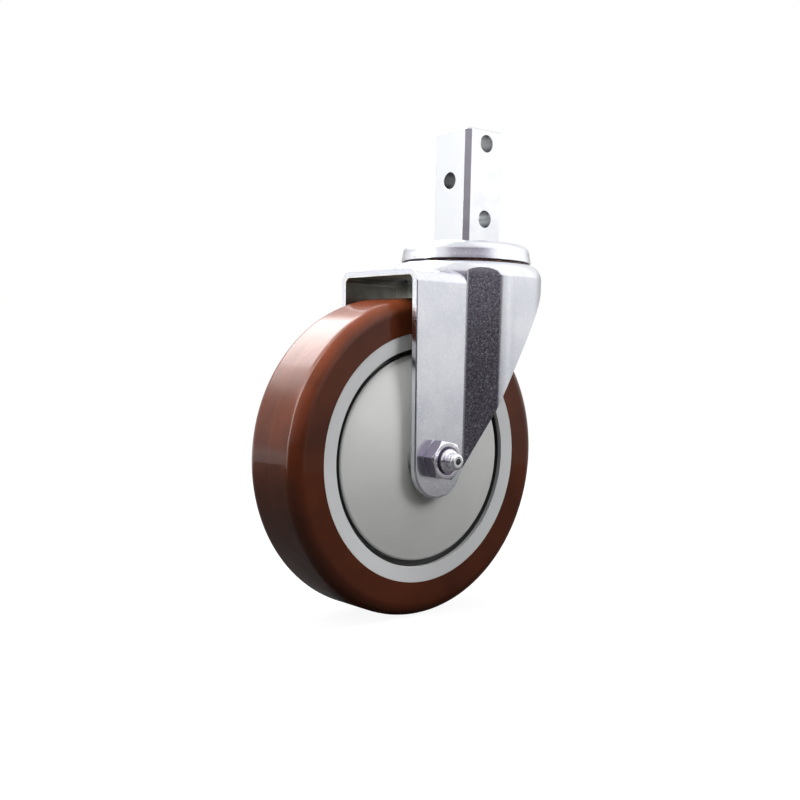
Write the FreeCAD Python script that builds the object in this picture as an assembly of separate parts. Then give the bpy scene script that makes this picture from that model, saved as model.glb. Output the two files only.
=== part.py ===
import FreeCAD, Part
import math
import os

# Swivel caster with a square stem, a pressed fork and a polyurethane wheel, in millimetres.
# The origin is on the swivel axis, on the seat where the mating tube ends. +Z runs up the stem.
# The axle runs along Y, the wheel trails towards -X, and the axle nut is on the -Y side.

V = FreeCAD.Vector
NODES = {}

# Driving sizes of the whole caster
WHEEL_DIAMETER = 127.0
WHEEL_WIDTH = 31.4
SWIVEL_OFFSET = 34.5
TREAD_TO_PLATE = 8.2

# Square stem and the kingpin turned on its lower end
STEM_SIDE = 21.3
STEM_LENGTH = 47.6
STEM_CHAMFER = 2.05
STEM_TOP_CHAMFER = 0.8
STEM_HOLE_DIAMETER = 7.1
STEM_TOP_HOLE = 41.7
STEM_SIDE_HOLE = 26.2
STEM_LOW_HOLE = 10.4
KINGPIN_DIAMETER = 15.8
KINGPIN_NECK_DIAMETER = 12.7
KINGPIN_HEAD_DIAMETER = 19.0
KINGPIN_HEAD_HEIGHT = 2.4

# Raceway cap
CAP_DIAMETER = 53.8
CAP_RIM_DIAMETER = 55.2
CAP_HEIGHT = 7.6
CAP_EDGE_RADIUS = 4.2
CAP_SHEET = 2.6
RIM_GAP = 0.5

# Pressed fork
FORK_SHEET = 2.6
FORK_WIDTH = 47.2
LEG_WIDTH = 26.0
PLATE_DROP = 13.5
PLATE_BEND_RADIUS = 5.0
HOUSING_RADIUS = 32.1
DOME_SHOULDER = 6.5
FLANK_ANGLE = 31.0
SKIRT_DROP = 19.5
LEG_RAKE = 1.2
FOOT_RADIUS = 12.0
FOOT_DROP = 3.4
FLANK_SLOPE = 63.8
SIDE_CURVE_START = 31.5
SIDE_CURVE_RADIUS = 146.0
FLANK_BEND_RADIUS = 3.0
FORK_EYE_DIAMETER = 19.0

# Swivel balls and their races
UPPER_BALL_DIAMETER = 6.35
UPPER_BALL_COUNT = 18
UPPER_PITCH_RADIUS = 20.0
LOWER_BALL_DIAMETER = 4.76
LOWER_BALL_COUNT = 14
LOWER_PITCH_RADIUS = 12.6
RACE_DEPTH = 0.35
BALL_CLEARANCE = 0.05
LOWER_RACE_DIAMETER = 33.0
LOWER_RACE_SHEET = 2.6

# Wheel
TREAD_THICKNESS = 13.8
RIM_WALL = 6.05
RIM_FACE_DRAFT = 0.45
RIM_KEY_HEIGHT = 2.6
RIM_KEY_WIDTH = 15.0
RIM_KEY_DRAFT = 1.5
RIM_LEDGE_DEPTH = 4.6
RIM_LEDGE_WIDTH = 5.65
TREAD_SHOULDER = 5.5
TREAD_FLUSH = 0.1
WEB_THICKNESS = 5.0
RIB_COUNT = 8
RIB_THICKNESS = 3.0
RIB_SET_BACK = 2.0
HUB_DIAMETER = 34.0
COVER_GAP = 2.35
COVER_SHEET = 1.6
COVER_RECESS = 1.2
COVER_CROWN = 3.2
COVER_EDGE_RADIUS = 1.2
COVER_BORE_DIAMETER = 21.6

# Roller bearing
SLEEVE_WALL = 1.2
ROLLER_DIAMETER = 4.0
ROLLER_COUNT = 9
ROLLER_LENGTH = 29.0
ROLLER_CLEARANCE = 0.04
CAGE_END = 1.2
CAGE_WALL = 1.6
CAGE_BAR = 1.4
BUSHING_DIAMETER = 12.7
SEAL_CLEARANCE = 0.1
WHEEL_SIDE_PLAY = 0.3

# Axle, nuts and lubrication
AXLE_DIAMETER = 9.5
AXLE_CLEARANCE = 0.1
AXLE_END_PROUD = 2.2
AXLE_END_RADIUS = 1.6
HEX_ACROSS_FLATS = 14.3
NUT_HEIGHT = 5.6
NUT_MOUTH_CHAMFER = 0.9
BOLT_HEAD_HEIGHT = 6.2
HEX_CROWN_ANGLE = 30.0
HEX_TURN = 50.0
THRUST_WASHER_DIAMETER = 23.0
THRUST_WASHER_SHEET = 1.0
GREASE_WAY_DIAMETER = 3.0
GREASE_PORT_DIAMETER = 2.4
BUSHING_GROOVE_WIDTH = 5.0
BUSHING_GROOVE_DEPTH = 0.6

# Grease fitting
FITTING_SHANK_DIAMETER = 5.4
FITTING_SHANK_LENGTH = 6.0
FITTING_NECK_DIAMETER = 4.8
FITTING_NECK_HEIGHT = 1.1
FITTING_HEAD_DIAMETER = 6.6
FITTING_HEAD_HEIGHT = 2.5
FITTING_FACE_DIAMETER = 4.4
FITTING_LIP = 0.5
FITTING_MOUTH_DIAMETER = 2.5
CHECK_BALL_DIAMETER = 3.1
CHECK_BORE_CLEARANCE = 0.1
CHECK_SEAT_CLEARANCE = 0.02
CHECK_TRAVEL = 0.8
SPRING_WIRE_DIAMETER = 0.4
SPRING_TURNS = 3.0
SPRING_SLACK = 0.6

# Places worked out from the driving sizes
AXLE_DROP = WHEEL_DIAMETER / 2 + TREAD_TO_PLATE + FORK_SHEET + PLATE_DROP
AXLE = V(-SWIVEL_OFFSET, 0, -AXLE_DROP)
Y_AXIS = V(0, 1, 0)
Z_AXIS = V(0, 0, 1)
ORIGIN = V(0, 0, 0)
FAR = 2 * WHEEL_DIAMETER
DOME_DROP = CAP_HEIGHT + RIM_GAP
LEG_FRONT = AXLE.x - LEG_WIDTH / 2
LEG_REAR = AXLE.x + LEG_WIDTH / 2
LEG_RAKE_REACH = AXLE_DROP * math.tan(math.radians(LEG_RAKE))
LEG_OUTSIDE = FORK_WIDTH / 2
LEG_INSIDE = LEG_OUTSIDE - FORK_SHEET
RIM_RADIUS = WHEEL_DIAMETER / 2 - TREAD_THICKNESS
RIM_INNER_RADIUS = RIM_RADIUS - RIM_WALL
RIM_HALF = WHEEL_WIDTH / 2 - TREAD_FLUSH
COVER_BROW = RIM_HALF - COVER_RECESS
COVER_FACE = COVER_BROW + COVER_CROWN
HUB_HALF = COVER_FACE - COVER_SHEET
BUSHING_HALF = LEG_INSIDE - THRUST_WASHER_SHEET
UPPER_BALL_HEIGHT = -(CAP_SHEET + DOME_DROP) / 2
LOWER_RADIUS = LOWER_BALL_DIAMETER / 2
LOWER_BALL_HEIGHT = -(DOME_DROP + FORK_SHEET + LOWER_RADIUS - RACE_DEPTH)
LOWER_RACE_TOP = LOWER_BALL_HEIGHT - LOWER_RADIUS + RACE_DEPTH
ROLLER_PITCH = BUSHING_DIAMETER / 2 + ROLLER_CLEARANCE + ROLLER_DIAMETER / 2
SLEEVE_BORE = ROLLER_PITCH + ROLLER_DIAMETER / 2 + ROLLER_CLEARANCE
SLEEVE_OUTSIDE = SLEEVE_BORE + SLEEVE_WALL
NUT_FACE = -(LEG_OUTSIDE + NUT_HEIGHT)
AXLE_END = NUT_FACE - AXLE_END_PROUD


# Shared shapes

def closed_face(edges):
    """A flat face inside a closed chain of edges."""
    return Part.Face(Part.Wire(Part.__sortEdges__(edges)))


def line(a, b):
    """A straight edge."""
    return Part.makeLine(a, b)


def arc(a, middle, b):
    """A round edge through three points."""
    return Part.Arc(a, middle, b).toShape()


def corner_arc(centre, radius, start, end, place):
    """A round edge about a centre, between two angles in degrees, in the plane that place makes."""
    steps = (start, (start + end) / 2, end)
    points = [
        place(centre[0] + radius * math.cos(math.radians(a)), centre[1] + radius * math.sin(math.radians(a)))
        for a in steps
    ]
    return Part.Arc(*points).toShape()


def on_swivel(radius, height):
    """A profile point of a piece turned about the swivel axis."""
    return V(radius, 0, height)


def on_axle(radius, y):
    """A profile point of a piece turned about the axle."""
    return V(AXLE.x + radius, y, AXLE.z)


def turned_on_swivel(points):
    """A solid of revolution about the swivel axis, from radius and height pairs."""
    corners = [on_swivel(*p) for p in points]
    face = Part.Face(Part.makePolygon(corners + corners[:1]))
    return face.revolve(ORIGIN, Z_AXIS, 360)


def turned_on_axle(points):
    """A solid of revolution about the axle, from radius and side pairs."""
    corners = [on_axle(*p) for p in points]
    face = Part.Face(Part.makePolygon(corners + corners[:1]))
    return face.revolve(AXLE, Y_AXIS, 360)


def axle_rod(radius, start, end):
    """A round bar on the axle line, from one side position to another."""
    return Part.makeCylinder(radius, end - start, V(AXLE.x, start, AXLE.z), Y_AXIS)


def axle_ring(inner, outer, start, end):
    """A washer or tube on the axle line."""
    return axle_rod(outer, start, end).cut(axle_rod(inner, start - 1, end + 1))


def mirrored(shape):
    """The same piece on the other side of the wheel."""
    return shape.mirror(ORIGIN, Y_AXIS)


def around(shape, count, centre, axis):
    """Copies of a shape, evenly spaced about an axis, as one group."""
    copies = []
    for i in range(count):
        copy = shape.copy()
        copy.rotate(centre, axis, 360 * i / count)
        copies.append(copy)
    return copies


def faceted_ball(centre, radius):
    """A ball with its corners on the sphere, in eight meridians and six rings."""
    rings = []
    for latitude in (-75, -45, -15, 15, 45, 75):
        height = radius * math.sin(math.radians(latitude))
        reach = radius * math.cos(math.radians(latitude))
        corners = [
            centre + V(reach * math.cos(math.pi * i / 4), reach * math.sin(math.pi * i / 4), height)
            for i in range(8)
        ]
        rings.append(Part.makePolygon(corners + corners[:1]))
    return Part.makeLoft(rings, True, True)


# Stem body

def square_stem():
    """Square stem with cross holes, and the kingpin with its upset head."""
    half = STEM_SIDE / 2
    flat = half - STEM_CHAMFER
    outline = [
        V(half, flat, 0), V(flat, half, 0), V(-flat, half, 0), V(-half, flat, 0),
        V(-half, -flat, 0), V(-flat, -half, 0), V(flat, -half, 0), V(half, -flat, 0),
    ]
    bar = Part.Face(Part.makePolygon(outline + outline[:1])).extrude(V(0, 0, STEM_LENGTH))
    top = [edge for edge in bar.Edges if edge.BoundBox.ZMin > STEM_LENGTH - 0.01]
    bar = bar.makeChamfer(STEM_TOP_CHAMFER, top)
    hole = STEM_HOLE_DIAMETER / 2
    for height in (STEM_TOP_HOLE, STEM_LOW_HOLE):
        bar = bar.cut(Part.makeCylinder(hole, STEM_SIDE * 2, V(0, -STEM_SIDE, height), Y_AXIS))
    bar = bar.cut(Part.makeCylinder(hole, STEM_SIDE * 2, V(-STEM_SIDE, 0, STEM_SIDE_HOLE), V(1, 0, 0)))
    pin = KINGPIN_DIAMETER / 2
    neck = KINGPIN_NECK_DIAMETER / 2
    head = KINGPIN_HEAD_DIAMETER / 2
    race_under = LOWER_RACE_TOP - LOWER_RACE_SHEET
    head_under = race_under - KINGPIN_HEAD_HEIGHT
    kingpin = turned_on_swivel([
        (0, 0), (pin, 0), (pin, LOWER_RACE_TOP), (neck, LOWER_RACE_TOP), (neck, race_under),
        (head, race_under), (head * 0.92, race_under - KINGPIN_HEAD_HEIGHT * 0.55),
        (head * 0.6, head_under), (0, head_under),
    ])
    return bar.fuse(kingpin)


def upper_groove(clearance):
    """The ring that the upper balls run in."""
    radius = UPPER_BALL_DIAMETER / 2 + clearance
    return Part.makeTorus(UPPER_PITCH_RADIUS, radius, V(0, 0, UPPER_BALL_HEIGHT), Z_AXIS)


def lower_groove(clearance):
    """The ring that the lower balls run in."""
    radius = LOWER_RADIUS + clearance
    return Part.makeTorus(LOWER_PITCH_RADIUS, radius, V(0, 0, LOWER_BALL_HEIGHT), Z_AXIS)


def raceway_cap():
    """Pressed cap with a rounded edge, a slightly flared rim and a ball groove."""
    side = CAP_DIAMETER / 2
    rim = CAP_RIM_DIAMETER / 2
    edge = CAP_EDGE_RADIUS
    inner_edge = edge - CAP_SHEET
    bore = KINGPIN_DIAMETER / 2
    middle = side - edge
    edges = [
        line(on_swivel(bore, 0), on_swivel(middle, 0)),
        corner_arc((middle, -edge), edge, 90, 0, on_swivel),
        line(on_swivel(side, -edge), on_swivel(rim, -CAP_HEIGHT)),
        line(on_swivel(rim, -CAP_HEIGHT), on_swivel(rim - CAP_SHEET, -CAP_HEIGHT)),
        line(on_swivel(rim - CAP_SHEET, -CAP_HEIGHT), on_swivel(side - CAP_SHEET, -edge)),
        corner_arc((middle, -edge), inner_edge, 0, 90, on_swivel),
        line(on_swivel(middle, -CAP_SHEET), on_swivel(bore, -CAP_SHEET)),
        line(on_swivel(bore, -CAP_SHEET), on_swivel(bore, 0)),
    ]
    cap = closed_face(edges).revolve(ORIGIN, Z_AXIS, 360)
    return cap.cut(upper_groove(BALL_CLEARANCE))


def lower_race():
    """Hard washer that the upset kingpin head holds up against the lower balls."""
    outside = LOWER_RACE_DIAMETER / 2
    neck = KINGPIN_NECK_DIAMETER / 2
    under = LOWER_RACE_TOP - LOWER_RACE_SHEET
    race = turned_on_swivel([
        (neck, LOWER_RACE_TOP), (outside, LOWER_RACE_TOP), (outside, under), (neck, under),
    ])
    return race.cut(lower_groove(BALL_CLEARANCE))


def ball_row(diameter, pitch, height, count):
    """A full row of swivel balls."""
    ball = faceted_ball(V(pitch, 0, height), diameter / 2)
    return Part.makeCompound(around(ball, count, ORIGIN, Z_AXIS))


# Fork body

def flank_line(inset):
    """Where the flank leaves the leg, and its direction, on the -Y side, drawn in by inset."""
    angle = math.radians(FLANK_ANGLE)
    outward = V(-math.sin(angle), -math.cos(angle), 0)
    reach = outward.dot(V(LEG_REAR, -LEG_OUTSIDE, 0)) - inset
    side = -(LEG_OUTSIDE - inset)
    start = V((reach - outward.y * side) / outward.x, side, 0)
    return start, V(math.cos(angle), -math.sin(angle), 0)


def fork_envelope(inset):
    """The fork's pressed form as one block, with every face drawn in by inset."""
    half = LEG_OUTSIDE - inset
    dome_top = -(DOME_DROP + inset)
    radius = HOUSING_RADIUS - inset
    shoulder = DOME_SHOULDER - inset
    edges = [
        line(on_swivel(0, dome_top), on_swivel(radius - shoulder, dome_top)),
        corner_arc((radius - shoulder, dome_top - shoulder), shoulder, 90, 0, on_swivel),
        line(on_swivel(radius, dome_top - shoulder), on_swivel(radius, -FAR)),
        line(on_swivel(radius, -FAR), on_swivel(0, -FAR)),
        line(on_swivel(0, -FAR), on_swivel(0, dome_top)),
    ]
    housing = closed_face(edges).revolve(ORIGIN, Z_AXIS, 360)
    start, along = flank_line(inset)
    near = [V(-FAR, -half, 0), start, start + along * FAR]
    outline = near + [V(p.x, -p.y, 0) for p in reversed(near)]
    plan = Part.Face(Part.makePolygon(outline + outline[:1])).extrude(V(0, 0, -2 * FAR))
    bends = [
        edge for edge in plan.Edges
        if edge.BoundBox.ZLength > FAR and abs(edge.BoundBox.XMin - start.x) < 0.1
    ]
    plan = plan.makeFillet(FLANK_BEND_RADIUS + inset, bends)
    housing = housing.common(plan)
    front = LEG_FRONT - LEG_RAKE_REACH - inset
    legs = Part.makeBox(-front, 2 * half, FAR, V(front, -half, -(PLATE_DROP + inset) - FAR))
    bends = [
        edge for edge in legs.Edges
        if edge.BoundBox.ZMin > -(PLATE_DROP + inset) - 0.1 and edge.BoundBox.YLength < 0.1
    ]
    legs = legs.makeFillet(PLATE_BEND_RADIUS - inset, bends)
    return housing.fuse(legs).removeSplitter()


def side_outline():
    """The fork's outline seen along the axle: rounded foot, flank edge, side edge and back skirt."""
    def place(x, z):
        return V(AXLE.x + x, -FAR, AXLE.z + z)
    rake = math.radians(LEG_RAKE)
    flank = math.radians(FLANK_SLOPE)
    foot = (0, -FOOT_DROP)
    front = (-FOOT_RADIUS * math.cos(rake), foot[1] - FOOT_RADIUS * math.sin(rake))
    front_top = (front[0] - (FAR - front[1]) * math.tan(rake), FAR)
    heel = (FOOT_RADIUS * math.sin(flank), foot[1] - FOOT_RADIUS * math.cos(flank))
    skirt = AXLE_DROP - SKIRT_DROP
    curve_start = (SIDE_CURVE_START, heel[1] + (SIDE_CURVE_START - heel[0]) * math.tan(flank))
    curve_centre = (
        curve_start[0] + SIDE_CURVE_RADIUS * math.sin(flank),
        curve_start[1] - SIDE_CURVE_RADIUS * math.cos(flank),
    )
    start_angle = 90 + FLANK_SLOPE
    end_angle = 180 - math.degrees(math.asin((skirt - curve_centre[1]) / SIDE_CURVE_RADIUS))
    end = (curve_centre[0] + SIDE_CURVE_RADIUS * math.cos(math.radians(end_angle)), skirt)
    edges = [
        line(place(*front_top), place(*front)),
        corner_arc(foot, FOOT_RADIUS, 180 + LEG_RAKE, 270 + FLANK_SLOPE, place),
        line(place(*heel), place(*curve_start)),
        corner_arc(curve_centre, SIDE_CURVE_RADIUS, start_angle, end_angle, place),
        line(place(*end), place(FAR, skirt)),
        line(place(FAR, skirt), place(FAR, FAR)),
        line(place(FAR, FAR), place(*front_top)),
    ]
    return closed_face(edges).extrude(V(0, 2 * FAR, 0))


def fork():
    """Fork pressed from one sheet: front plate, legs, flanks, round housing and ball races."""
    body = fork_envelope(0).cut(fork_envelope(FORK_SHEET))
    body = body.common(side_outline())
    body = body.cut(Part.makeCylinder(FORK_EYE_DIAMETER / 2, FAR, V(0, 0, -FAR), Z_AXIS))
    body = body.cut(upper_groove(BALL_CLEARANCE))
    body = body.cut(lower_groove(BALL_CLEARANCE))
    return body.cut(axle_rod(AXLE_DIAMETER / 2 + AXLE_CLEARANCE, -FORK_WIDTH, FORK_WIDTH))


def hex_piece(start, end, crowned):
    """A hexagon on the axle line with a turned crown on the sides named in crowned."""
    flat = HEX_ACROSS_FLATS / 2
    corner = flat / math.cos(math.radians(30))
    points = []
    for i in range(6):
        angle = math.radians(HEX_TURN + 60 * i)
        points.append(V(AXLE.x + corner * math.cos(angle), start, AXLE.z + corner * math.sin(angle)))
    prism = Part.Face(Part.makePolygon(points + points[:1])).extrude(V(0, end - start, 0))
    drop = (corner - flat) * math.tan(math.radians(HEX_CROWN_ANGLE)) * 1.3
    low = drop if "start" in crowned else 0
    high = drop if "end" in crowned else 0
    reach = flat - 0.3 * (corner - flat)
    profile = [(0, start), (reach if low else corner, start)]
    if low:
        profile.append((corner, start + low))
    if high:
        profile.append((corner, end - high))
    profile.append((reach if high else corner, end))
    profile.append((0, end))
    return prism.common(turned_on_axle(profile))


def axle_bolt():
    """Hollow axle bolt: hexagon head on the far side, rounded near end, and a grease way."""
    radius = AXLE_DIAMETER / 2
    head = hex_piece(LEG_OUTSIDE, LEG_OUTSIDE + BOLT_HEAD_HEIGHT, ("end",))
    shank = axle_rod(radius, AXLE_END, LEG_OUTSIDE)
    tip = [edge for edge in shank.Edges if edge.BoundBox.YMax < AXLE_END + 0.01]
    body = shank.makeFillet(AXLE_END_RADIUS, tip).fuse(head)
    body = body.cut(axle_rod(FITTING_SHANK_DIAMETER / 2, AXLE_END - 1, AXLE_END + FITTING_SHANK_LENGTH))
    body = body.cut(axle_rod(GREASE_WAY_DIAMETER / 2, AXLE_END, GREASE_PORT_DIAMETER))
    port = Part.makeCylinder(GREASE_PORT_DIAMETER / 2, 2 * radius, V(AXLE.x - radius, 0, AXLE.z), V(1, 0, 0))
    return body.cut(port)


def axle_nut():
    """Thin hexagon nut on the axle's threaded end, chamfered on both faces."""
    blank = hex_piece(NUT_FACE, -LEG_OUTSIDE, ("start", "end"))
    bore = AXLE_DIAMETER / 2
    floor = NUT_FACE + NUT_MOUTH_CHAMFER
    mouth = turned_on_axle([(0, NUT_FACE), (bore + NUT_MOUTH_CHAMFER, NUT_FACE), (bore, floor), (0, floor)])
    return blank.cut(axle_rod(bore, NUT_FACE - 1, 0)).cut(mouth)


def spanner_bushing():
    """Hardened tube between the legs that the rollers run on, with a grease groove and two ports."""
    bore = AXLE_DIAMETER / 2 + AXLE_CLEARANCE
    outside = BUSHING_DIAMETER / 2
    tube = axle_ring(bore, outside, -BUSHING_HALF, BUSHING_HALF)
    groove = axle_rod(bore + BUSHING_GROOVE_DEPTH, -BUSHING_GROOVE_WIDTH / 2, BUSHING_GROOVE_WIDTH / 2)
    port = Part.makeCylinder(
        GREASE_PORT_DIAMETER / 2, 2 * BUSHING_DIAMETER, V(AXLE.x, 0, AXLE.z - BUSHING_DIAMETER), Z_AXIS
    )
    return tube.cut(groove).cut(port)


def thrust_washer():
    """Flat washer between the leg and the wheel, on the near side."""
    inner = AXLE_DIAMETER / 2 + AXLE_CLEARANCE
    return axle_ring(inner, THRUST_WASHER_DIAMETER / 2, -LEG_INSIDE, -BUSHING_HALF)


def fitting_head():
    """Side positions of the grease fitting's head, at its base and at its tip."""
    base = AXLE_END - FITTING_NECK_HEIGHT
    return base, base - FITTING_HEAD_HEIGHT


def check_ball_place():
    """Side position of the check ball's centre, where it closes the fitting's mouth."""
    ball = CHECK_BALL_DIAMETER / 2
    mouth = FITTING_MOUTH_DIAMETER / 2
    seat = math.sqrt(ball ** 2 - mouth ** 2)
    return fitting_head()[1] + FITTING_LIP + seat + CHECK_SEAT_CLEARANCE


def spring_length():
    """Length of the check spring at rest."""
    return SPRING_TURNS * SPRING_WIRE_DIAMETER + CHECK_TRAVEL + SPRING_SLACK


def grease_fitting():
    """Driven grease fitting in the axle's end, with a chamber for its ball and spring."""
    base, tip = fitting_head()
    shank = FITTING_SHANK_DIAMETER / 2
    inner_end = AXLE_END + FITTING_SHANK_LENGTH
    neck = FITTING_NECK_DIAMETER / 2
    head = FITTING_HEAD_DIAMETER / 2
    face = FITTING_FACE_DIAMETER / 2
    mouth = FITTING_MOUTH_DIAMETER / 2
    edges = [
        line(on_axle(0, inner_end), on_axle(shank, inner_end)),
        line(on_axle(shank, inner_end), on_axle(shank, AXLE_END)),
        line(on_axle(shank, AXLE_END), on_axle(neck, base)),
        arc(on_axle(neck, base), on_axle(head, (base + tip) / 2), on_axle(face, tip)),
        line(on_axle(face, tip), on_axle(0, tip)),
        line(on_axle(0, tip), on_axle(0, inner_end)),
    ]
    solid = closed_face(edges).revolve(AXLE, Y_AXIS, 360)
    chamber = CHECK_BALL_DIAMETER / 2 + CHECK_BORE_CLEARANCE
    spring_seat = check_ball_place() + CHECK_BALL_DIAMETER / 2 + spring_length()
    solid = solid.cut(axle_rod(mouth, tip - 1, inner_end + 1))
    return solid.cut(axle_rod(chamber, tip + FITTING_LIP, spring_seat))


def check_spring():
    """Coil spring behind the check ball."""
    wire = SPRING_WIRE_DIAMETER / 2
    coil = CHECK_BALL_DIAMETER / 2 - wire
    start = check_ball_place() + CHECK_BALL_DIAMETER / 2 + wire
    free = spring_length() - 2 * wire
    helix = Part.makeHelix(free / SPRING_TURNS, free, coil)
    section = Part.Wire([Part.makeCircle(wire, V(coil, 0, 0), Y_AXIS)])
    spring = Part.Wire(helix.Edges).makePipeShell([section], True, True)
    spring.rotate(ORIGIN, V(1, 0, 0), -90)
    spring.translate(V(AXLE.x, start, AXLE.z))
    return spring


def check_ball():
    """Ball that closes the grease fitting's mouth."""
    return Part.makeSphere(CHECK_BALL_DIAMETER / 2, V(AXLE.x, check_ball_place(), AXLE.z))


# Wheel body

def wheel_core():
    """Moulded core: rim keyed to the tread, web, ribs and hub."""
    rim = RIM_RADIUS
    rim_inner = RIM_INNER_RADIUS
    face = RIM_HALF - RIM_FACE_DRAFT
    ledge = RIM_HALF - RIM_LEDGE_DEPTH
    floor = RIM_INNER_RADIUS - RIM_LEDGE_WIDTH
    web = WEB_THICKNESS / 2
    hub = HUB_DIAMETER / 2
    key = rim + RIM_KEY_HEIGHT
    key_top = RIM_KEY_WIDTH / 2 - RIM_KEY_DRAFT
    near_half = [
        (rim, RIM_HALF), (rim_inner, face), (rim_inner, ledge), (floor, ledge), (floor, web),
        (hub, web), (hub, HUB_HALF), (SLEEVE_OUTSIDE, HUB_HALF),
    ]
    far_half = [(r, -y) for r, y in reversed(near_half)]
    crown = [(rim, -RIM_KEY_WIDTH / 2), (key, -key_top), (key, key_top), (rim, RIM_KEY_WIDTH / 2)]
    core = turned_on_axle(near_half + far_half + crown)
    rib_half = ledge - RIB_SET_BACK
    rib = Part.makeBox(
        floor - hub + 2, 2 * rib_half, RIB_THICKNESS,
        V(AXLE.x + hub - 1, -rib_half, AXLE.z - RIB_THICKNESS / 2),
    )
    return core.fuse(around(rib, RIB_COUNT, AXLE, Y_AXIS)).removeSplitter()


def tread():
    """Polyurethane tyre with round shoulders, moulded over the rim's key."""
    outside = WHEEL_DIAMETER / 2
    half = WHEEL_WIDTH / 2
    shoulder = TREAD_SHOULDER
    rim = RIM_RADIUS
    key = rim + RIM_KEY_HEIGHT
    key_top = RIM_KEY_WIDTH / 2 - RIM_KEY_DRAFT
    flat = half - shoulder
    inner = [
        (rim, -half), (rim, -RIM_KEY_WIDTH / 2), (key, -key_top),
        (key, key_top), (rim, RIM_KEY_WIDTH / 2), (rim, half),
    ]
    edges = [line(on_axle(*a), on_axle(*b)) for a, b in zip(inner, inner[1:])]
    edges.append(line(on_axle(rim, half), on_axle(outside - shoulder, half)))
    edges.append(corner_arc((outside - shoulder, flat), shoulder, 90, 0, on_axle))
    edges.append(line(on_axle(outside, flat), on_axle(outside, -flat)))
    edges.append(corner_arc((outside - shoulder, -flat), shoulder, 0, -90, on_axle))
    edges.append(line(on_axle(outside - shoulder, -half), on_axle(rim, -half)))
    return closed_face(edges).revolve(AXLE, Y_AXIS, 360)


def cover():
    """Crowned disc with a short skirt that rests on the core's ledge, on the near side."""
    outside = RIM_INNER_RADIUS - COVER_GAP
    bore = COVER_BORE_DIAMETER / 2
    edge = COVER_EDGE_RADIUS
    sheet = COVER_SHEET
    ledge = RIM_HALF - RIM_LEDGE_DEPTH
    brow = COVER_BROW
    top = outside - edge
    middle = (top + bore) / 2
    mid_face = brow + (COVER_FACE - brow) * 0.78

    def place(radius, height):
        return on_axle(radius, -height)
    edges = [
        line(place(bore, COVER_FACE), place(middle, mid_face)),
        line(place(middle, mid_face), place(top, brow)),
        corner_arc((top, brow - edge), edge, 90, 0, place),
        line(place(outside, brow - edge), place(outside, ledge)),
        line(place(outside, ledge), place(outside - sheet, ledge)),
        line(place(outside - sheet, ledge), place(outside - sheet, brow - sheet)),
        line(place(outside - sheet, brow - sheet), place(middle, mid_face - sheet)),
        line(place(middle, mid_face - sheet), place(HUB_DIAMETER / 2, HUB_HALF)),
        line(place(HUB_DIAMETER / 2, HUB_HALF), place(bore, HUB_HALF)),
        line(place(bore, HUB_HALF), place(bore, COVER_FACE)),
    ]
    return closed_face(edges).revolve(AXLE, Y_AXIS, 360)


def bearing_sleeve():
    """Steel cup pressed into the hub, the rollers' outer track."""
    return axle_ring(SLEEVE_BORE, SLEEVE_OUTSIDE, -HUB_HALF, HUB_HALF)


def hub_seal():
    """Ring in the cover's bore that keeps the grease in, on the near side."""
    inner = BUSHING_DIAMETER / 2 + SEAL_CLEARANCE
    return axle_ring(inner, COVER_BORE_DIAMETER / 2, -(BUSHING_HALF - WHEEL_SIDE_PLAY), -HUB_HALF)


# Roller body

def rollers():
    """Full set of straight rollers, parallel to the axle."""
    roller = Part.makeCylinder(
        ROLLER_DIAMETER / 2, ROLLER_LENGTH, V(AXLE.x + ROLLER_PITCH, -ROLLER_LENGTH / 2, AXLE.z), Y_AXIS
    )
    return Part.makeCompound(around(roller, ROLLER_COUNT, AXLE, Y_AXIS))


def roller_cage():
    """Cage that keeps the rollers apart: two end rings joined by bars."""
    inner = ROLLER_PITCH - CAGE_WALL / 2
    outer = ROLLER_PITCH + CAGE_WALL / 2
    inside = ROLLER_LENGTH / 2 + ROLLER_CLEARANCE
    end = inside + CAGE_END
    near = axle_ring(inner, outer, -end, -inside)
    bar = Part.makeBox(
        CAGE_WALL * 0.8, 2 * end, CAGE_BAR,
        V(AXLE.x + ROLLER_PITCH - CAGE_WALL * 0.4, -end, AXLE.z - CAGE_BAR / 2),
    )
    bar.rotate(AXLE, Y_AXIS, 180 / ROLLER_COUNT)
    bars = around(bar, ROLLER_COUNT, AXLE, Y_AXIS)
    return near.fuse([mirrored(near)] + bars).removeSplitter()


# All pieces

def make_all():
    """Every piece by the name of its node."""
    NODES["square_stem"] = square_stem()
    NODES["raceway_cap"] = raceway_cap()
    NODES["lower_race"] = lower_race()
    NODES["upper_balls"] = ball_row(
        UPPER_BALL_DIAMETER, UPPER_PITCH_RADIUS, UPPER_BALL_HEIGHT, UPPER_BALL_COUNT
    )
    NODES["lower_balls"] = ball_row(
        LOWER_BALL_DIAMETER, LOWER_PITCH_RADIUS, LOWER_BALL_HEIGHT, LOWER_BALL_COUNT
    )
    NODES["fork"] = fork()
    NODES["axle_bolt"] = axle_bolt()
    NODES["axle_nut"] = axle_nut()
    NODES["spanner_bushing"] = spanner_bushing()
    NODES["near_thrust_washer"] = thrust_washer()
    NODES["far_thrust_washer"] = mirrored(thrust_washer())
    NODES["grease_fitting"] = grease_fitting()
    NODES["check_ball"] = check_ball()
    NODES["check_spring"] = check_spring()
    NODES["wheel_core"] = wheel_core()
    NODES["tread"] = tread()
    NODES["near_cover"] = cover()
    NODES["far_cover"] = mirrored(cover())
    NODES["bearing_sleeve"] = bearing_sleeve()
    NODES["near_hub_seal"] = hub_seal()
    NODES["far_hub_seal"] = mirrored(hub_seal())
    NODES["rollers"] = rollers()
    NODES["roller_cage"] = roller_cage()


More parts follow.
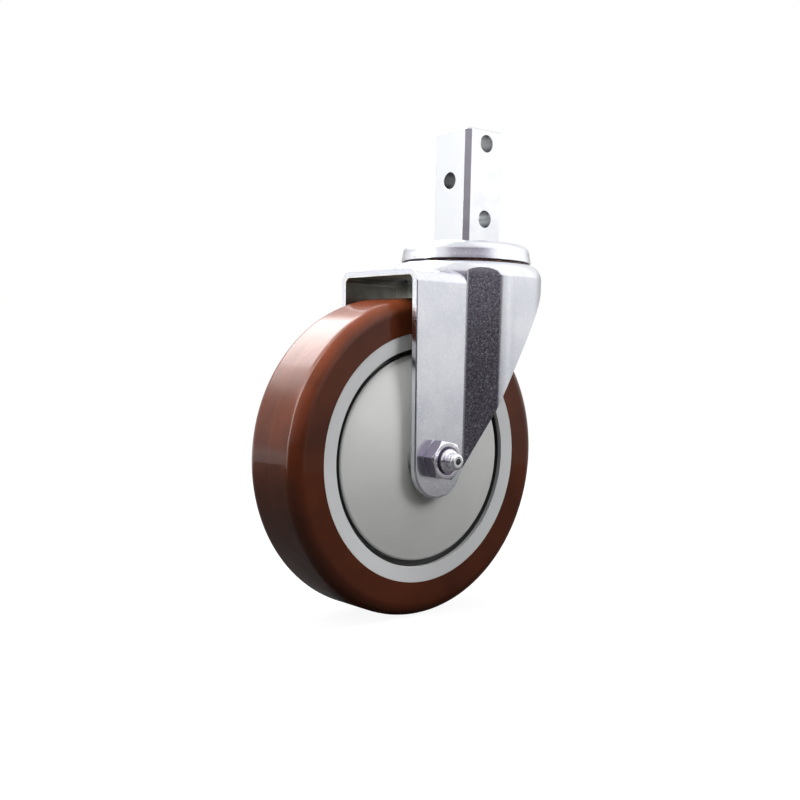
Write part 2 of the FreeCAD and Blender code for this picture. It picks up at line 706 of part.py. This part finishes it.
make_all()
os.makedirs("parts", exist_ok=True)
for name, shape in NODES.items():
    shape.exportStep("parts/" + name + ".step")
    print(name, len(shape.Solids), shape.isValid(), round(shape.Volume, 1))
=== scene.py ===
import math

import bmesh
import bpy
from mathutils import Matrix, Vector
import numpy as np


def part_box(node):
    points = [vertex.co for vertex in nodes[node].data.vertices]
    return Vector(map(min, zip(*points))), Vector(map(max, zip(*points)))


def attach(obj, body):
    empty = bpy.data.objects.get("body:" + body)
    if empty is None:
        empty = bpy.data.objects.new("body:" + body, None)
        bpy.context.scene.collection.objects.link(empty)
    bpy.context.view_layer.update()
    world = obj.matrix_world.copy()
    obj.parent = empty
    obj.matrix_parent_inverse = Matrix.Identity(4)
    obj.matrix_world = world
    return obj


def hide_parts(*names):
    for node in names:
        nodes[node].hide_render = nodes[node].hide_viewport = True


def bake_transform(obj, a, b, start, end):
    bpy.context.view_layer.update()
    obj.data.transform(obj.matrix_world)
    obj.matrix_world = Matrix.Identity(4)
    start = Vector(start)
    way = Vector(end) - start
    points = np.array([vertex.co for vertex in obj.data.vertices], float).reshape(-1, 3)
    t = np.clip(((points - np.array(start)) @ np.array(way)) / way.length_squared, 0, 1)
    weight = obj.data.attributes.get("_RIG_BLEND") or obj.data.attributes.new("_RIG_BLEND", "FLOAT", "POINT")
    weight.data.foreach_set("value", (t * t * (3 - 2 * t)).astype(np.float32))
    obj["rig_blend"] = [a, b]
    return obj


# Polyurethane swivel caster: a square stem, a zinc plated fork and a red-brown wheel.
# Everything is in metres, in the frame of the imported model: origin on the swivel axis at the seat,
# +Z up the stem, the axle along Y, the wheel trailing towards -X.

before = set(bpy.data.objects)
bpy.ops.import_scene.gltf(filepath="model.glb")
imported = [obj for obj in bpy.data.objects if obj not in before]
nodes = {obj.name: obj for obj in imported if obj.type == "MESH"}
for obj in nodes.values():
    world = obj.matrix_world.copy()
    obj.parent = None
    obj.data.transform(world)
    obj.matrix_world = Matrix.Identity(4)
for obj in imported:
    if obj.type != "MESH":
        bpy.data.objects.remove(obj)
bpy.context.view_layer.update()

MM = 0.001
X, Y, Z = range(3)
WHITE = (1.0, 1.0, 1.0, 1.0)
MATERIALS = {}

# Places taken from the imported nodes
tread_low, tread_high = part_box("tread")
AXLE = (Vector(tread_low) + Vector(tread_high)) / 2
FLOOR = tread_low[2]
STEM_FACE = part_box("square_stem")[1][0]

# Where the fork's faces lie, which decides where its zinc is rougher under a tint of painted shade, and
# where its grain is coarse under darker flecks that are partly painted shade
LEGS_INSIDE = 21.2 * MM
HOUSING_INSIDE = 30.4 * MM
HOUSING_FRONT = -22.0 * MM
PLATE_UNDERSIDE = -15.75 * MM
DOME_FOOT = -13.25 * MM
FLANK_LEAN = -0.52

# The tread's running face starts at this distance from the axle
TREAD_CROWN = 62.0 * MM

# The groove round a cover: its inner and outer reach from the axle, and the distance of the faces
# beside it from the wheel's middle plane
HUB_GROOVE = (41.4 * MM, 43.8 * MM, 13.6 * MM)
COVER_GROOVE = (41.15 * MM, 60.0 * MM, 13.9 * MM)

# The fork's cut edges are rolled below the leg's top, up to just behind the axle and clear of the nut
LEG_TOP = -25.0 * MM
FOOT_BACK = 4.0 * MM
NUT_REACH = 9.0 * MM
SHEET_ROLL = 0.9 * MM

# How the copies of the CAD meshes are joined, rounded and shaded
POINT_JOIN = 0.002 * MM
ROLL_JOIN = 0.06 * MM
EDGE_SEGMENTS = 2
ROLL_SEGMENTS = 4
FLAT_ANGLE = math.radians(0.4)
SHARP_ANGLE = math.radians(35)
SMOOTH_ANGLE = math.radians(34.0)

# Stretch of the tool marks along the drawn stem and along turned pieces
ALONG_STEM = (1.0, 1.0, 0.08)
ALONG_AXLE = (1.0, 0.2, 1.0)


# Shader maths

class Value:
    """A socket that takes part in ordinary expressions."""

    def __init__(self, finish, socket):
        self.finish = finish
        self.socket = socket

    def maths(self, operation, *others):
        sockets = dict(enumerate((self,) + others))
        node = self.finish.node("ShaderNodeMath", {"operation": operation}, sockets)
        return Value(self.finish, node.outputs[0])

    def reversed_maths(self, operation, other):
        node = self.finish.node("ShaderNodeMath", {"operation": operation}, {0: other, 1: self})
        return Value(self.finish, node.outputs[0])

    def __add__(self, other):
        return self.maths("ADD", other)

    def __sub__(self, other):
        return self.maths("SUBTRACT", other)

    def __mul__(self, other):
        return self.maths("MULTIPLY", other)

    def __truediv__(self, other):
        return self.maths("DIVIDE", other)

    def __rsub__(self, other):
        return self.reversed_maths("SUBTRACT", other)

    def __rtruediv__(self, other):
        return self.reversed_maths("DIVIDE", other)

    __radd__ = __add__
    __rmul__ = __mul__

    def root(self):
        return self.maths("SQRT")

    def size(self):
        return self.maths("ABSOLUTE")

    def step(self, start, end):
        """0 at start and 1 at end, with a soft change between them; start may be the larger."""
        settings = {"interpolation_type": "SMOOTHSTEP"}
        sockets = {"Value": self, "From Min": start, "From Max": end}
        node = self.finish.node("ShaderNodeMapRange", settings, sockets)
        return Value(self.finish, node.outputs[0])

    def over(self, limit, blur):
        """1 above the limit and 0 below it, blurred to both sides."""
        return self.step(limit - blur, limit + blur)

    def under(self, limit, blur):
        """1 below the limit and 0 above it, blurred to both sides."""
        return self.step(limit + blur, limit - blur)


class Finish:
    """One node tree, of a material or of the world."""

    def __init__(self, owner, output):
        owner.use_nodes = True
        self.tree = owner.node_tree
        self.tree.nodes.clear()
        self.output = self.tree.nodes.new(output)

    def feed(self, socket, value):
        if isinstance(value, Value):
            self.tree.links.new(value.socket, socket)
        else:
            socket.default_value = value

    def node(self, kind, settings=None, sockets=None):
        """A node of any kind: its settings are set first, and then its sockets."""
        made = self.tree.nodes.new(kind)
        for key, value in (settings or {}).items():
            setattr(made, key, value)
        for key, value in (sockets or {}).items():
            self.feed(made.inputs[key], value)
        return made

    def coordinates(self, kind="Object"):
        return Value(self, self.node("ShaderNodeTexCoord").outputs[kind])

    def axes(self, vector):
        split = self.node("ShaderNodeSeparateXYZ", None, {0: vector})
        return [Value(self, split.outputs[i]) for i in range(3)]

    def noise(self, vector, size, detail=2.0, roughness=0.5):
        """Soft random patches about as wide as size, from 0 to 1."""
        sockets = {"Vector": vector, "Scale": 1 / size, "Detail": detail, "Roughness": roughness}
        return Value(self, self.node("ShaderNodeTexNoise", None, sockets).outputs[0])

    def stretched(self, vector, scale):
        made = self.node("ShaderNodeVectorMath", {"operation": "MULTIPLY"}, {0: vector, 1: scale})
        return Value(self, made.outputs[0])

    def mix(self, factor, a, b):
        """Colour a where factor is 0 and b where it is 1."""
        made = self.node("ShaderNodeMix", {"data_type": "RGBA"}, {0: factor, 6: a, 7: b})
        return Value(self, made.outputs[2])

    def bump(self, height, depth):
        sockets = {"Height": height, "Distance": depth}
        return Value(self, self.node("ShaderNodeBump", None, sockets).outputs[0])

    def surface(self, **sockets):
        """The closing Principled shader; keys are socket names with _ for a space."""
        values = {key.replace("_", " "): value for key, value in sockets.items()}
        shader = self.node("ShaderNodeBsdfPrincipled", None, values)
        self.tree.links.new(shader.outputs[0], self.output.inputs[0])


def colour(red, green, blue):
    """A colour written as display values from 0 to 255."""
    def linear(level):
        share = level / 255
        return share / 12.92 if share <= 0.04045 else ((share + 0.055) / 1.055) ** 2.4
    return (linear(red), linear(green), linear(blue), 1.0)


def finish(name):
    """A new material with an empty node tree."""
    material = bpy.data.materials.new(name)
    MATERIALS[name] = material
    return Finish(material, "ShaderNodeOutputMaterial")


def axle_distance(made, where):
    """Distance from the axle line."""
    places = made.axes(where)
    across = places[X] - AXLE.x
    up = places[Z] - AXLE.z
    return (across * across + up * up).root()


def facing(made, axis):
    """How much a face points along one axis, from -1 to 1."""
    return made.axes(made.coordinates("Normal"))[axis]


# Materials

def inside_the_fork(made, where):
    """1 on the fork's inner faces below the plate and on its down-turned faces above it, where the zinc is
    rougher and its darker tint is painted shade, and 0 elsewhere.
    """
    x, y, z = made.axes(where)
    between_legs = y.size().under(LEGS_INSIDE, 0.1 * MM) * x.under(HOUSING_FRONT, 1.0 * MM)
    from_stem = (x * x + y * y).root()
    in_housing = from_stem.under(HOUSING_INSIDE, 0.2 * MM) * x.over(HOUSING_FRONT, 1.0 * MM)
    below_plate = z.under(PLATE_UNDERSIDE, 0.15 * MM)
    facing_down = facing(made, Z).under(-0.5, 0.1)
    return (between_legs + in_housing) * below_plate + (1.0 - below_plate) * facing_down


def on_the_flank(made, where):
    """1 on the fork's flanks, where the sheet's grain is coarser and its dense darker violet flecks are
    partly painted shade, and 0 elsewhere.
    """
    off_lean = (facing(made, X) - FLANK_LEAN).size()
    below_dome = made.axes(where)[Z].under(DOME_FOOT, 0.75 * MM)
    return off_lean.under(0.075, 0.025) * below_dome


def zinc_plate(name, grain_depth, roughness, is_fork=False):
    """Bright zinc over pressed or turned steel, with the fine grain of the sheet."""
    made = finish(name)
    where = made.coordinates()
    grain = made.noise(where, 0.5 * MM, 2.0, 0.55)
    speck = made.noise(where, 0.8 * MM, 1.0).step(0.58, 0.72)
    fleck = made.noise(where, 0.8 * MM, 3.0, 0.75).step(0.64, 0.36)
    cloud = made.noise(where, 14 * MM, 3.0)
    few, many = 0.08, 1.0
    coarse_and_shaded = on_the_flank(made, where) * (many - few) + few if is_fork else few
    tint = made.mix(cloud.step(0.3, 0.7), colour(228, 229, 235), colour(217, 219, 227))
    # Darker violet flecks: grain everywhere, and on the flanks also painted shade.
    tint = made.mix(fleck * coarse_and_shaded, tint, colour(150, 144, 158))
    tint = made.mix(speck * 0.22, tint, colour(248, 244, 243))
    rough = roughness + cloud * 0.05 + speck * 0.05
    if is_fork:
        # Painted shade: the inner and down-turned faces get a darker tint; the added roughness is dulled
        # zinc.
        dull_and_shade = inside_the_fork(made, where)
        shade_tint = made.mix(cloud.step(0.35, 0.6), colour(212, 212, 204), colour(178, 177, 168))
        tint = made.mix(dull_and_shade, tint, shade_tint)
        rough = rough + dull_and_shade * 0.15
    made.surface(Base_Color=tint, Metallic=1.0, Roughness=rough, Normal=made.bump(grain, grain_depth))


def in_the_bores(made):
    """1 inside the stem's cross holes, which are drilled through the plating."""
    x, y, z = made.axes(made.coordinates())
    skin = STEM_FACE - 0.3 * MM
    within_faces = x.size().under(skin, 0.05 * MM) * y.size().under(skin, 0.05 * MM)
    within_chamfers = (x.size() + y.size()).under(2 * skin - 3.1 * MM, 0.2 * MM)
    within_ends = z.over(0.75 * MM, 0.25 * MM) * z.under(45.75 * MM, 0.25 * MM)
    return within_faces * within_chamfers * within_ends


def on_the_facets(made):
    """1 on the sides of the nut and of the bolt's head, which keep the rougher skin of drawn bar, with a
    darker violet tint that is painted shade.
    """
    return facing(made, Y).size().under(0.2, 0.1)


def machined_zinc(name, stretch, light, dark, dull_and_shade=None, where_dull_and_shade=None):
    """Plated steel from a lathe or a drawn bar, with faint lines along one direction."""
    made = finish(name)
    where = made.coordinates()
    lines = made.noise(made.stretched(where, stretch), 0.5 * MM)
    cloud = made.noise(where, 9 * MM)
    tint = made.mix(cloud.step(0.35, 0.7), light, dark)
    rough = 0.14 + cloud * 0.08
    # The second tint is bare steel in the stem's bores, and painted shade on the nut's and bolt head's
    # facets.
    if where_dull_and_shade:
        dull_and_shaded_part = where_dull_and_shade(made)
        tint = made.mix(dull_and_shaded_part, tint, dull_and_shade)
        rough = rough + dull_and_shaded_part * 0.14
    made.surface(Base_Color=tint, Metallic=1.0, Roughness=rough, Normal=made.bump(lines, 0.008 * MM))


def ground_steel(name):
    """Bearing steel under a film of grease."""
    made = finish(name)
    film = made.noise(made.coordinates(), 3 * MM)
    tint = made.mix(film.step(0.4, 0.7), colour(176, 176, 180), colour(140, 122, 104))
    made.surface(Base_Color=tint, Metallic=1.0, Roughness=0.18 + film * 0.15, Coat_Weight=0.4)


def cast_polyurethane(name):
    """Glossy red-brown polyurethane with a fine parting line round the middle of the tread."""
    made = finish(name)
    where = made.coordinates()
    flow = made.noise(where, 24 * MM, 3.0)
    waves = made.noise(where, 11 * MM)
    scuff = made.noise(where, 2.5 * MM, 3.0).step(0.6, 0.8)
    crown = axle_distance(made, where).over(TREAD_CROWN, 0.5 * MM)
    line = crown * made.axes(where)[Y].size().under(0.235 * MM, 0.115 * MM)
    body = made.mix(flow.step(0.3, 0.75), colour(76, 34, 17), colour(58, 26, 13))
    body = made.mix(line * 0.05, body, colour(150, 110, 96))
    height = waves * 14.0 + line * 0.8
    made.surface(
        Base_Color=body, Roughness=0.26 + flow * 0.1 + scuff * 0.12, Specular_IOR_Level=0.08,
        Coat_Weight=0.3, Coat_Roughness=0.03, Normal=made.bump(height, 0.02 * MM),
    )


def in_the_groove(made, where, nearest, farthest, face):
    """1 deep in the ring-shaped groove round the cover, and 0 on the faces beside it."""
    away = axle_distance(made, where)
    ring = away.over(nearest, 0.15 * MM) * away.under(farthest + 0.075 * MM, 0.075 * MM)
    return ring * made.axes(where)[Y].size().under(face - 0.3 * MM, 0.3 * MM)


def moulded_plastic(name, tone, grain_depth, roughness, groove=None):
    """Moulded plastic with a fine satin skin, and painted shade in the groove where it has one."""
    made = finish(name)
    where = made.coordinates()
    skin = made.noise(where, 0.35 * MM)
    cloud = made.noise(where, 18 * MM)
    darker = tuple(level * 0.95 for level in tone[:3]) + (1.0,)
    tint = made.mix(cloud.step(0.3, 0.7), tone, darker)
    if groove:
        # Painted shade: the groove between cover and rim is painted near-black.
        tint = made.mix(in_the_groove(made, where, *groove) * 0.92, tint, colour(24, 24, 23))
    rough = roughness + cloud * 0.08
    made.surface(Base_Color=tint, Roughness=rough, Normal=made.bump(skin, grain_depth))


def brown_grease(name):
    """Reddish-brown grease at the edge of the ball race."""
    made = finish(name)
    lumps = made.noise(made.coordinates(), 1.2 * MM, 3.0)
    tint = made.mix(lumps.step(0.45, 0.62), colour(34, 20, 16), colour(138, 70, 52))
    made.surface(Base_Color=tint, Roughness=0.3, Coat_Weight=0.5, Normal=made.bump(lumps, 0.3 * MM))


def make_materials():
    zinc_plate("fork_zinc", grain_depth=0.012 * MM, roughness=0.19, is_fork=True)
    zinc_plate("cap_zinc", grain_depth=0.008 * MM, roughness=0.2)
    machined_zinc(
        "stem_zinc", ALONG_STEM, light=colour(232, 234, 237), dark=colour(224, 226, 231),
        dull_and_shade=colour(204, 205, 206), where_dull_and_shade=in_the_bores,
    )
    # The nut's darker tint on its facets is painted shade.
    machined_zinc(
        "nut_zinc", ALONG_AXLE, light=colour(236, 234, 240), dark=colour(214, 211, 220),
        dull_and_shade=colour(150, 143, 158), where_dull_and_shade=on_the_facets,
    )
    machined_zinc("fitting_zinc", ALONG_AXLE, light=colour(240, 241, 244), dark=colour(222, 223, 228))
    ground_steel("bearing_steel")
    cast_polyurethane("red_brown_polyurethane")
    moulded_plastic("hub_grey", colour(190, 191, 192), 0.02 * MM, 0.42, HUB_GROOVE)
    moulded_plastic("cover_grey", colour(184, 185, 183), 0.008 * MM, 0.36, COVER_GROOVE)
    moulded_plastic("seal_black", colour(38, 38, 40), 0.02 * MM, 0.5)
    moulded_plastic("seal_grey", colour(96, 96, 96), 0.02 * MM, 0.5)
    brown_grease("race_grease")


# Pieces

def put_on(piece, material):
    piece.data.materials.clear()
    piece.data.materials.append(MATERIALS[material])


def merged_copy(node, joined):
    """A copy of a CAD node's mesh with its points joined and its flat faces made whole."""
    piece = bpy.data.objects.new(node + "_finished", nodes[node].data.copy())
    bpy.context.scene.collection.objects.link(piece)
    mesh = bmesh.new()
    mesh.from_mesh(piece.data)
    bmesh.ops.remove_doubles(mesh, verts=mesh.verts, dist=joined)
    bmesh.ops.dissolve_limit(mesh, angle_limit=FLAT_ANGLE, verts=mesh.verts, edges=mesh.edges)
    mesh.to_mesh(piece.data)
    mesh.free()
    return piece


def is_sheet_edge(edge):
    """True where the outer skin of a leg meets its cut edge, down the front and round the foot."""
    middle = (edge.verts[0].co + edge.verts[1].co) / 2
    reach = Vector((middle.x - AXLE.x, middle.z - AXLE.z)).length
    if reach < NUT_REACH or middle.z > LEG_TOP or middle.x > AXLE.x + FOOT_BACK:
        return False
    side = 1 if middle.y > 0 else -1
    normals = [face.normal for face in edge.link_faces]
    for cut, skin in (normals, normals[::-1]):
        if abs(cut.y) < 0.05 and skin.y * side > 0.99:
            return True
    return False


def weigh_edges(piece, is_chosen):
    """Marks the sharp edges, or only the chosen ones among them, for the next rounding."""
    mesh = bmesh.new()
    mesh.from_mesh(piece.data)
    layers = mesh.edges.layers.float
    weights = layers.get("bevel_weight_edge") or layers.new("bevel_weight_edge")
    for edge in mesh.edges:
        sharp = len(edge.link_faces) == 2 and edge.calc_face_angle(0.0) > SHARP_ANGLE
        edge[weights] = 1.0 if sharp and (is_chosen is None or is_chosen(edge)) else 0.0
    mesh.to_mesh(piece.data)
    mesh.free()


def apply_modifier(piece, kind, **settings):
    modifier = piece.modifiers.new(kind.lower(), kind)
    for key, value in settings.items():
        setattr(modifier, key, value)
    bpy.ops.object.select_all(action="DESELECT")
    bpy.context.view_layer.objects.active = piece
    piece.select_set(True)
    bpy.ops.object.modifier_apply(modifier=modifier.name)


def round_edges(piece, width, segments, is_chosen=None):
    """Rounds the chosen edges to the full width, or all sharp edges as far as their faces allow."""
    weigh_edges(piece, is_chosen)
    apply_modifier(
        piece, "BEVEL", width=width, segments=segments, limit_method="WEIGHT",
        use_clamp_overlap=is_chosen is None,
    )


def softened(node, body, material, edge, roll):
    """A CAD node shown with rounded edges, as a pressed or moulded piece has them."""
    piece = merged_copy(node, ROLL_JOIN if roll else POINT_JOIN)
    put_on(piece, material)
    if roll:
        round_edges(piece, roll, ROLL_SEGMENTS, is_sheet_edge)
    round_edges(piece, edge, EDGE_SEGMENTS)
    bpy.ops.object.shade_smooth_by_angle(angle=SMOOTH_ANGLE)
    apply_modifier(piece, "WEIGHTED_NORMAL", weight=100, keep_sharp=True)
    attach(piece, body)
    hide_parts(node)


def sprung_coil():
    """The check spring, which shortens as the ball is pushed in: its front coil goes with the ball."""
    low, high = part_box("check_spring")
    piece = merged_copy("check_spring", POINT_JOIN)
    put_on(piece, "bearing_steel")
    front = (AXLE.x, low[1] + 0.35 * MM, AXLE.z)
    seat = (AXLE.x, high[1], AXLE.z)
    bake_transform(piece, "grease_valve", "swivel_fork", front, seat)
    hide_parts("check_spring")


def grease_ring():
    """Brown grease pressed out of the ball race, lying on the fork just under the cap's rim."""
    cap_low, cap_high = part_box("raceway_cap")
    bpy.ops.object.select_all(action="DESELECT")
    bpy.ops.mesh.primitive_torus_add(
        location=(0, 0, cap_low[2] - 0.5 * MM), major_segments=240, minor_segments=10,
        major_radius=cap_high[0] - 1.1 * MM, minor_radius=0.27 * MM,
    )
    ring = bpy.context.active_object
    ring.name = "race_grease_ring"
    bpy.ops.object.transform_apply(location=True)
    lumps = bpy.data.textures.new("grease_lumps", "CLOUDS")
    lumps.noise_scale = 1.6 * MM
    apply_modifier(ring, "DISPLACE", texture=lumps, strength=0.4 * MM, mid_level=0.6)
    bpy.ops.object.shade_smooth()
    put_on(ring, "race_grease")
    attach(ring, "swivel_fork")


def finish_nodes():
    """Every CAD node gets its material, and the visible ones get their edges rounded."""
    # Node, body, material, and the rounding's width in millimetres
    rounded = [
        ("square_stem", "stem", "stem_zinc", 0.35),
        ("raceway_cap", "stem", "cap_zinc", 0.4),
        ("fork", "swivel_fork", "fork_zinc", 0.3),
        ("axle_nut", "swivel_fork", "nut_zinc", 0.2),
        ("axle_bolt", "swivel_fork", "nut_zinc", 0.2),
        ("grease_fitting", "swivel_fork", "fitting_zinc", 0.12),
        ("near_thrust_washer", "swivel_fork", "fork_zinc", 0.15),
        ("far_thrust_washer", "swivel_fork", "fork_zinc", 0.15),
        ("wheel_core", "wheel", "hub_grey", 0.3),
        ("tread", "wheel", "red_brown_polyurethane", 0.2),
        ("near_cover", "wheel", "cover_grey", 0.25),
        ("far_cover", "wheel", "cover_grey", 0.25),
    ]
    for node, body, material, edge in rounded:
        softened(node, body, material, edge * MM, SHEET_ROLL if node == "fork" else None)
    plain = {
        "bearing_steel": (
            "lower_race", "upper_balls", "lower_balls", "spanner_bushing", "bearing_sleeve", "rollers",
        ),
        "seal_black": ("check_ball", "roller_cage"),
        "seal_grey": ("near_hub_seal", "far_hub_seal"),
    }
    for material, names in plain.items():
        for name in names:
            put_on(nodes[name], material)
    sprung_coil()
    grease_ring()


# Studio

CAMERA_PLACE = Vector((-0.31785, -0.33273, -0.04721))
CAMERA_FORWARD = Vector((0.64716, 0.76120, -0.04194))
CAMERA_RIGHT = Vector((0.76231, -0.64674, 0.02459))
CAMERA_UP = Vector((0.00841, 0.04788, 0.99882))
CAMERA_LENS = 48.22
CAMERA_SENSOR = 36.0
CAMERA_NEAREST = 0.01
FLOOR_SIZE = 0.9

# Parts of the tent: azimuth, how far from it the part ends and how far it is full, in degrees
RIGHT_WALL = (-50, 70, 40)
BACK_WALL = (50, 55, 25)
SIDE_SHADE = (-80, 31, 12)
WINDOW = (108, 42, 34)
BRIGHT_STRIP = (149, 8, 2)
FAINT_STRIP = (-64, 4, 2)
CAMERA_SIDE = (-140, 66, 52)
ABOVE_CAMERA = (-128, 52, 18)

# Heights in the tent, from -1 straight down to 1 straight up: where a part starts and is full
WALL_FOOT = (-0.25, 0.04)
WALL_TOP = (0.07, 0.15)
BACK_HEAD = (0.35, 0.12)
SHADE_HEAD = (0.12, 0.06)
WINDOW_SILL = (0.32, 0.5)
WINDOW_HEAD = (0.97, 0.85)
PATCH_FOOT = (-0.3, -0.1)
PATCH_HEAD = (0.02, -0.04)
STRIP_FOOT = (-0.4, 0.5)
STRIP_HEAD = (0.95, 0.8)
DARK_NARROWS = (0.1, 0.17)
DARK_HEAD = (0.62, 0.45)
ROOM_WALL = (0.08, 0.11)

VIOLET_CAST = (1.0, 0.93, 1.05, 1.0)
NEVER_ZERO = 0.0001


def add_camera():
    """The camera at the photograph's place and viewing angle."""
    data = bpy.data.cameras.new("camera")
    data.lens = CAMERA_LENS
    data.sensor_width = CAMERA_SENSOR
    data.clip_start = CAMERA_NEAREST
    camera = bpy.data.objects.new("camera", data)
    turn = Matrix((CAMERA_RIGHT, CAMERA_UP, -CAMERA_FORWARD)).transposed()
    camera.matrix_world = Matrix.Translation(CAMERA_PLACE) @ turn.to_4x4()
    bpy.context.scene.collection.objects.link(camera)
    bpy.context.scene.camera = camera


def add_softbox(name, place, target, size, power, spread):
    """A soft rectangular lamp, with a grid where its spread is narrow; polished faces don't show it."""
    data = bpy.data.lights.new(name, "AREA")
    data.shape = "RECTANGLE"
    data.size = size[0]
    data.size_y = size[1]
    data.energy = power
    data.spread = math.radians(spread)
    lamp = bpy.data.objects.new(name, data)
    lamp.location = place
    lamp.visible_glossy = False
    lamp.rotation_euler = (Vector(target) - Vector(place)).to_track_quat("-Z", "Y").to_euler()
    bpy.context.scene.collection.objects.link(lamp)


def sector(x, y, part):
    """1 near a part's azimuth and 0 far from it."""
    azimuth, ends, full = [math.radians(angle) for angle in part]
    level = (x * x + y * y + NEVER_ZERO).root()
    cosine = (x * math.cos(azimuth) + y * math.sin(azimuth)) / level
    return cosine.step(math.cos(ends), math.cos(full))


def tent_walls(x, y, z):
    """Pale walls, brighter above the horizon, with a dimmer back and a shade beside the camera."""
    overhead = sector(x, y, RIGHT_WALL) * 0.34 + 0.08
    walls = z.step(*WALL_FOOT) * 0.9 + z.step(*WALL_TOP) * overhead + 0.06
    walls = walls * (1.0 - sector(x, y, BACK_WALL) * z.step(*BACK_HEAD) * 0.45)
    return walls * (1.0 - sector(x, y, SIDE_SHADE) * z.step(*SHADE_HEAD) * 0.34)


def tent_lights(x, y, z, panes):
    """A high window with panes, a pale patch below it, and two thin upright strips."""
    left = sector(x, y, WINDOW)
    window = left * z.step(*WINDOW_SILL) * z.step(*WINDOW_HEAD) * panes * 9.0
    patch = left * z.step(*PATCH_FOOT) * z.step(*PATCH_HEAD) * 0.9
    bright_strip = sector(x, y, BRIGHT_STRIP) * z.step(*STRIP_FOOT) * 12.0
    faint_strip = sector(x, y, FAINT_STRIP) * 0.5
    return window + patch + (bright_strip + faint_strip) * z.step(*STRIP_HEAD)


def camera_side(x, y, z):
    """1 on the dark side where the camera stands, which is narrower above the horizon."""
    high = z.step(*DARK_NARROWS)
    low_part = sector(x, y, CAMERA_SIDE) * (1.0 - high)
    high_part = sector(x, y, ABOVE_CAMERA) * high
    return (low_part + high_part) * z.step(*DARK_HEAD)


def reflected_tent(made):
    """What polished surfaces see, and how much of that is the dark side."""
    direction = made.coordinates("Generated")
    x, y, z = made.axes(direction)
    panes = made.noise(direction, 0.35, 1.0).step(0.46, 0.52) * 0.6 + 0.4
    bright = tent_walls(x, y, z) + tent_lights(x, y, z, panes)
    dark = camera_side(x, y, z)
    room = z.step(*ROOM_WALL) * 0.34 + 0.056
    return bright * (1.0 - dark) + room * dark, dark


def add_world():
    """The tent for reflections, a plain glow from above for the rest, and white behind it all."""
    world = bpy.data.worlds.new("studio")
    bpy.context.scene.world = world
    made = Finish(world, "ShaderNodeOutputWorld")
    shine, dark = reflected_tent(made)
    z = made.axes(made.coordinates("Generated"))[Z]
    glow = z.step(-0.05, 0.8) * 0.85 + 0.03
    path = made.node("ShaderNodeLightPath")
    glossy = Value(made, path.outputs["Is Glossy Ray"])
    seen = Value(made, path.outputs["Is Camera Ray"])
    strength = glow + glossy * (shine - glow)
    strength = strength + seen * (1.0 - strength)
    tint = made.mix(dark * glossy, WHITE, VIOLET_CAST)
    tint = made.mix(seen, tint, WHITE)
    background = made.node("ShaderNodeBackground", None, {"Color": tint, "Strength": strength})
    made.tree.links.new(background.outputs[0], made.output.inputs[0])


def add_floor():
    """A plain pale floor under the wheel."""
    bpy.ops.object.select_all(action="DESELECT")
    bpy.ops.mesh.primitive_plane_add(size=FLOOR_SIZE, location=(0, 0, FLOOR))
    floor = bpy.context.active_object
    floor.name = "floor"
    made = finish("floor_white")
    path = made.node("ShaderNodeLightPath")
    seen = Value(made, path.outputs["Is Camera Ray"])
    made.surface(
        Base_Color=(0.04, 0.04, 0.04, 1.0), Roughness=0.9, Emission_Color=WHITE,
        Emission_Strength=seen * 0.92,
    )
    put_on(floor, "floor_white")


def build_studio():
    add_camera()
    add_world()
    add_floor()
    add_softbox(
        "key_softbox", place=(0.12, -0.27, 0.15), target=(0.03, 0.0, 0.005), size=(0.26, 0.26),
        power=0.225, spread=60,
    )
    add_softbox(
        "top_softbox", place=(-0.15, 0.0, 0.34), target=(-0.02, 0.0, -0.06), size=(0.2, 0.24),
        power=9.0, spread=180,
    )


make_materials()
finish_nodes()
build_studio()
bpy.context.scene.view_settings.view_transform = "Standard"
